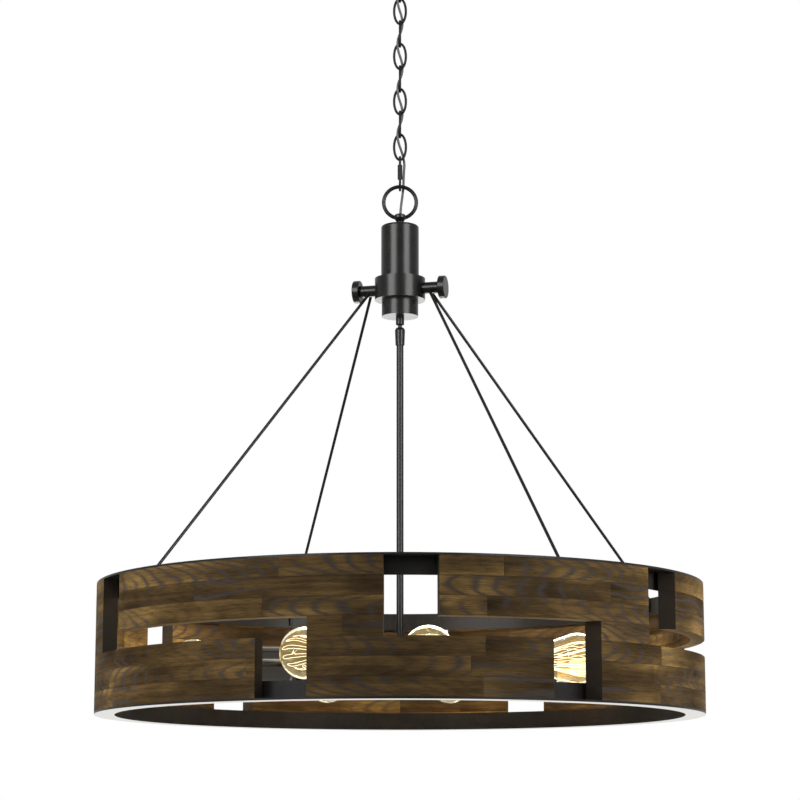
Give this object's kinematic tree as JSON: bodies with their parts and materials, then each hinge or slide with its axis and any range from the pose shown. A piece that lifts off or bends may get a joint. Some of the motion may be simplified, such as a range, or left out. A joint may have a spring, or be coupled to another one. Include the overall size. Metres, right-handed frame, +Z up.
{
  "type": "chandelier",
  "caption": "Drum chandelier with curved wood panels between two steel hoops, hung by rods and a chain, with a ring of filament bulbs inside",
  "frame": {"origin": "on the ceiling, at the middle of the crossbar's top face", "axes": "+Z up out of the ceiling face, +X to the right of the picture's view, -Y towards the picture's camera"},
  "size_m": [0.8, 0.8, 1.1088],
  "materials": {
    "walnut": "dark walnut strips, finger-jointed, satin oil",
    "dark_bronze": "dark bronze, satin, finely brushed",
    "hoop_steel": "black-bronze satin paint on rolled angle",
    "black_chain": "black satin wire",
    "zinc_steel": "zinc plate",
    "amber_glass": "clear, amber tint",
    "clear_glass": "clear",
    "hot_filament": "glowing coil",
    "brass_screw": "rolled brass",
    "porcelain": "white glaze",
    "cord_sheath": "dark brown sheath"
  },
  "bodies": {
    "ceiling_set": {"crossbar": "zinc_steel", "crossbar_nut": "zinc_steel", "canopy": "dark_bronze", "canopy_loop": "dark_bronze", "cord": "cord_sheath"},
    "ring_nut": {"canopy_ring_nut": "dark_bronze"},
    "link_1": {"chain_link_1": "black_chain"},
    "link_2": {"chain_link_2": "black_chain"},
    "link_3": {"chain_link_3": "black_chain"},
    "link_4": {"chain_link_4": "black_chain"},
    "link_5": {"chain_link_5": "black_chain"},
    "link_6": {"chain_link_6": "black_chain"},
    "link_7": {"chain_link_7": "black_chain"},
    "link_8": {"chain_link_8": "black_chain"},
    "quick_link": {"quick_link": "black_chain"},
    "sleeve": {"quick_link_sleeve": "black_chain"},
    "hub": {"hub_loop": "dark_bronze", "hub_nuts": "zinc_steel", "upper_column": "dark_bronze", "hub_collar": "dark_bronze", "lower_column": "dark_bronze", "arm_left": "dark_bronze", "arm_right": "dark_bronze", "rod_front_left": "dark_bronze", "rod_back_left": "dark_bronze", "rod_front_right": "dark_bronze", "rod_back_right": "dark_bronze", "swivel_stud": "dark_bronze", "top_hoop": "hoop_steel", "bottom_hoop": "hoop_steel", "upper_panel_1": "walnut", "upper_panel_2": "walnut", "upper_panel_3": "walnut", "upper_panel_4": "walnut", "upper_panel_5": "walnut", "upper_panel_6": "walnut", "lower_panel_1": "walnut", "lower_panel_2": "walnut", "lower_panel_3": "walnut", "lower_panel_4": "walnut", "lower_panel_5": "walnut", "lower_panel_6": "walnut", "filler_blocks": "walnut", "panel_screws": "hoop_steel"},
    "knob_left": {"knob_left": "dark_bronze"},
    "knob_right": {"knob_right": "dark_bronze"},
    "seat": {"swivel_seat": "brass_screw"},
    "lamps": {"swivel_bell": "dark_bronze", "stem": "dark_bronze", "lamp_body": "dark_bronze", "lamp_cap": "dark_bronze", "lamp_arms": "dark_bronze", "lamp_sockets": "dark_bronze", "socket_cores": "porcelain", "bulb_bases": "brass_screw", "bulb_glass": "amber_glass", "bulb_posts": "clear_glass", "filaments": "hot_filament"}
  },
  "joints": [
    {"name": "ring_nut_turn", "type": "hinge", "parent": "ceiling_set", "child": "ring_nut", "pos_m": [0, 0, -0.03], "axis": [0, 0, 1], "continuous": true},
    {"name": "chain_swing_1", "type": "hinge", "parent": "ceiling_set", "child": "link_1", "pos_m": [0, 0, -0.0901], "axis": [1, 0, 0], "range_deg": [-10, 10], "deforming": ["cord"]},
    {"name": "chain_swing_2", "type": "hinge", "parent": "link_1", "child": "link_2", "pos_m": [0, 0, -0.1218], "axis": [0, 1, 0], "range_deg": [-10, 10], "deforming": ["cord"]},
    {"name": "chain_swing_3", "type": "hinge", "parent": "link_2", "child": "link_3", "pos_m": [0, 0, -0.1544], "axis": [1, 0, 0], "range_deg": [-10, 10], "deforming": ["cord"]},
    {"name": "chain_swing_4", "type": "hinge", "parent": "link_3", "child": "link_4", "pos_m": [0, 0, -0.187], "axis": [0, 1, 0], "range_deg": [-10, 10], "deforming": ["cord"]},
    {"name": "chain_swing_5", "type": "hinge", "parent": "link_4", "child": "link_5", "pos_m": [0, 0, -0.2196], "axis": [1, 0, 0], "range_deg": [-10, 10], "deforming": ["cord"]},
    {"name": "chain_swing_6", "type": "hinge", "parent": "link_5", "child": "link_6", "pos_m": [0, 0, -0.2522], "axis": [0, 1, 0], "range_deg": [-10, 10], "deforming": ["cord"]},
    {"name": "chain_swing_7", "type": "hinge", "parent": "link_6", "child": "link_7", "pos_m": [0, 0, -0.2848], "axis": [1, 0, 0], "range_deg": [-10, 10], "deforming": ["cord"]},
    {"name": "chain_swing_8", "type": "hinge", "parent": "link_7", "child": "link_8", "pos_m": [0, 0, -0.3174], "axis": [0, 1, 0], "range_deg": [-10, 10], "deforming": ["cord"]},
    {"name": "quick_link_swing", "type": "hinge", "parent": "link_8", "child": "quick_link", "pos_m": [0, 0, -0.35], "axis": [1, 0, 0], "range_deg": [-10, 10], "deforming": ["cord"]},
    {"name": "sleeve_slide", "type": "slide", "parent": "quick_link", "child": "sleeve", "axis": [0, 0, 1], "range_m": [0, 0.006]},
    {"name": "hub_swing", "type": "hinge", "parent": "quick_link", "child": "hub", "pos_m": [0, 0, -0.3927], "axis": [0, 1, 0], "range_deg": [-10, 10], "deforming": ["cord"]},
    {"name": "knob_left_turn", "type": "hinge", "parent": "hub", "child": "knob_left", "pos_m": [-0.05592, 0.0154, -0.5326], "axis": [-0.9641, 0.2656, 0], "continuous": true},
    {"name": "knob_right_turn", "type": "hinge", "parent": "hub", "child": "knob_right", "pos_m": [0.05592, -0.0154, -0.5326], "axis": [0.9641, -0.2656, 0], "continuous": true},
    {"name": "lamp_swing_x", "type": "hinge", "parent": "hub", "child": "seat", "pos_m": [0, 0, -0.5923], "axis": [1, 0, 0], "range_deg": [-4, 4]},
    {"name": "lamp_swing_y", "type": "hinge", "parent": "seat", "child": "lamps", "pos_m": [0, 0, -0.5923], "axis": [0, 1, 0], "range_deg": [-4, 4]}
  ]
}
